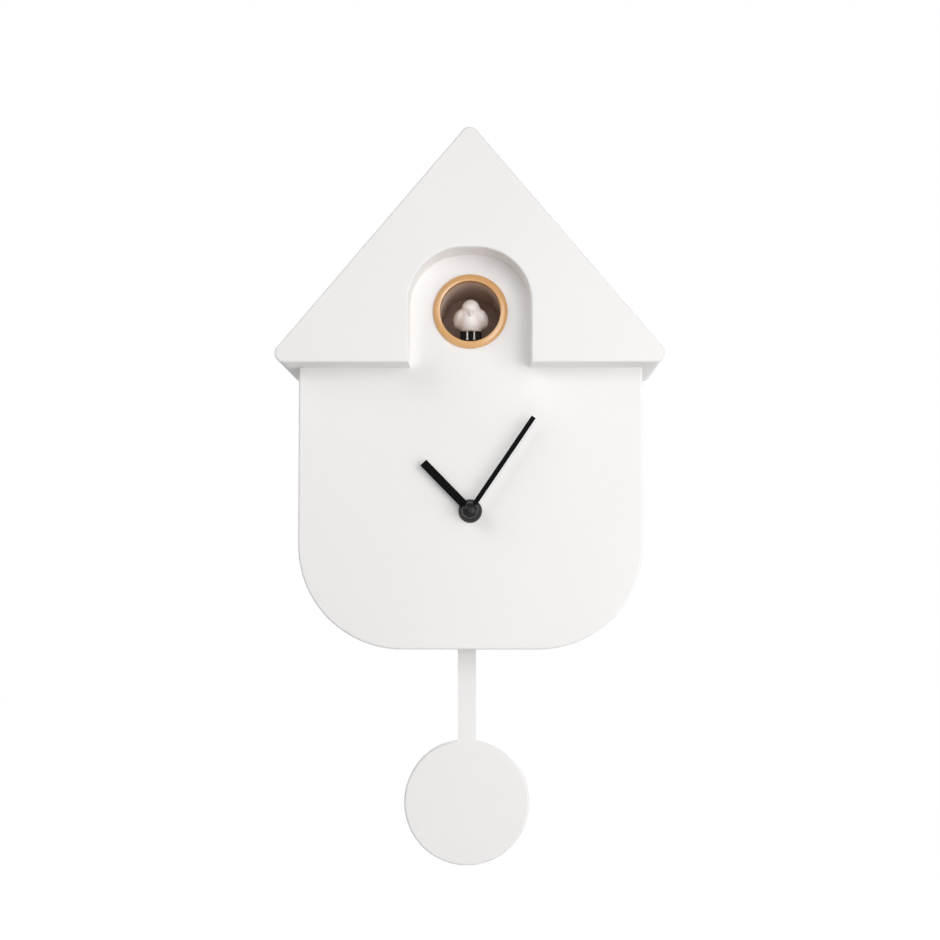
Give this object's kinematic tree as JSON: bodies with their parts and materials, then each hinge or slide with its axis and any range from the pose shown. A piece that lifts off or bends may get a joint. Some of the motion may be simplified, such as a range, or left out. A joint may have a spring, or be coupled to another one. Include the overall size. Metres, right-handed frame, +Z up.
{
  "type": "cuckoo clock",
  "caption": "House-shaped wall cuckoo clock with a gabled roof, arched recess, ringed bird tunnel with a sliding bird, plain hands and a swinging disc pendulum.",
  "frame": {"origin": "middle of the keyhole's round hole, on the wall plane", "axes": "+X to the viewer's right, +Y into the wall, +Z up"},
  "size_m": [0.2148, 0.076, 0.4141],
  "materials": {
    "white_abs": "satin moulded ABS",
    "cover_abs": "fine textured moulded ABS",
    "steel": "zinc plated",
    "ring_tan": "satin golden tan paint",
    "tunnel_brown": "satin brown",
    "bird_white": "gloss",
    "stand_black": "gloss",
    "nylon_black": "matt",
    "gear_pom": "natural acetal",
    "motor_can": "drawn steel",
    "brass": "turned",
    "case_black": "fine texture",
    "copper_coil": "enamelled copper wire",
    "washer_dark": "black zinc",
    "nut_dark": "black zinc",
    "hand_black": "satin black enamel",
    "cap_black": "satin black",
    "magnet": "ferrite",
    "contact_metal": "nickel plated",
    "board_green": "solder mask",
    "chip_black": "moulded epoxy",
    "cone_paper": "pressed paper"
  },
  "bodies": {
    "case": {"roof_shell": "white_abs", "front_housing": "white_abs", "back_cover": "cover_abs", "roof_screws": "steel", "cover_screws": "steel", "bird_ring": "ring_tan", "bird_tunnel": "tunnel_brown", "bird_bracket": "nylon_black", "bracket_screws": "steel", "bird_motor": "motor_can", "movement_front": "case_black", "movement_rear": "case_black", "step_unit": "case_black", "step_coil": "copper_coil", "stem_washer": "washer_dark", "stem_nut": "nut_dark", "pendulum_bracket": "nylon_black", "drive_coil": "copper_coil", "pivot_pin": "steel", "pivot_clip": "steel", "battery_tray": "case_black", "battery_contacts": "contact_metal", "circuit_board": "board_green", "board_parts": "chip_black", "board_screws": "steel", "speaker_basket": "motor_can", "speaker_cone": "cone_paper", "speaker_magnet": "magnet", "volume_switch": "case_black"},
    "minute_train": {"centre_arbor": "gear_pom", "minute_hand": "hand_black", "hand_cap": "cap_black"},
    "hour_train": {"hour_wheel": "gear_pom", "hour_hand": "hand_black"},
    "minute_wheel": {"minute_wheel": "gear_pom"},
    "setting_knob": {"setting_knob": "case_black"},
    "step_pinion": {"step_pinion": "gear_pom"},
    "pendulum": {"pendulum": "white_abs", "pendulum_hanger": "nylon_black", "drive_magnet": "magnet"},
    "bird": {"bird": "bird_white", "bird_stand": "stand_black", "bird_carriage": "nylon_black"},
    "drive_gear": {"drive_gear": "gear_pom"},
    "motor_pinion": {"motor_pinion": "brass"},
    "battery_door": {"battery_door": "cover_abs"},
    "volume_slider": {"volume_slider": "case_black"}
  },
  "joints": [
    {"name": "minute_turn", "type": "hinge", "parent": "case", "child": "minute_train", "pos_m": [0, -0.06, -0.1562], "axis": [0, 1, 0], "continuous": true},
    {"name": "hour_turn", "type": "hinge", "parent": "case", "child": "hour_train", "pos_m": [0, -0.06, -0.1562], "axis": [0, 1, 0], "continuous": true},
    {"name": "minute_wheel_turn", "type": "hinge", "parent": "case", "child": "minute_wheel", "pos_m": [0, -0.047, -0.1442], "axis": [0, 1, 0], "continuous": true},
    {"name": "setting_knob_turn", "type": "hinge", "parent": "case", "child": "setting_knob", "pos_m": [0.01223, -0.02, -0.1385], "axis": [0, 1, 0], "continuous": true},
    {"name": "step_pinion_turn", "type": "hinge", "parent": "case", "child": "step_pinion", "pos_m": [-0.01202, -0.043, -0.16822], "axis": [0, 1, 0], "continuous": true},
    {"name": "pendulum_swing", "type": "hinge", "parent": "case", "child": "pendulum", "pos_m": [-0.0024, -0.03, -0.1622], "axis": [0, 1, 0], "range_deg": [-7, 7]},
    {"name": "bird_slide", "type": "slide", "parent": "case", "child": "bird", "axis": [0, -1, 0], "range_m": [0, 0.022]},
    {"name": "drive_gear_turn", "type": "hinge", "parent": "case", "child": "drive_gear", "pos_m": [0, -0.0288, -0.07637], "axis": [1, 0, 0], "range_deg": [0, 260]},
    {"name": "motor_pinion_turn", "type": "hinge", "parent": "case", "child": "motor_pinion", "pos_m": [0.008, -0.0163, -0.07637], "axis": [1, 0, 0], "range_deg": [-1035, 0]},
    {"name": "battery_door_hinge", "type": "hinge", "parent": "case", "child": "battery_door", "pos_m": [0.0675, -0.003, -0.1084], "axis": [1, 0, 0], "range_deg": [0, 90]},
    {"name": "volume_slide", "type": "slide", "parent": "case", "child": "volume_slider", "axis": [1, 0, 0], "range_m": [-0.003, 0.003]}
  ],
  "couplings": [
    {"joint": "hour_turn", "follows": "minute_turn", "ratio": 0.083333},
    {"joint": "minute_wheel_turn", "follows": "minute_turn", "ratio": -0.33333},
    {"joint": "setting_knob_turn", "follows": "minute_turn", "ratio": 0.66667},
    {"joint": "step_pinion_turn", "follows": "minute_turn", "ratio": -7.5},
    {"joint": "drive_gear_turn", "follows": "bird_slide", "rad_per_m": 204.08},
    {"joint": "motor_pinion_turn", "follows": "bird_slide", "rad_per_m": -816.33}
  ]
}
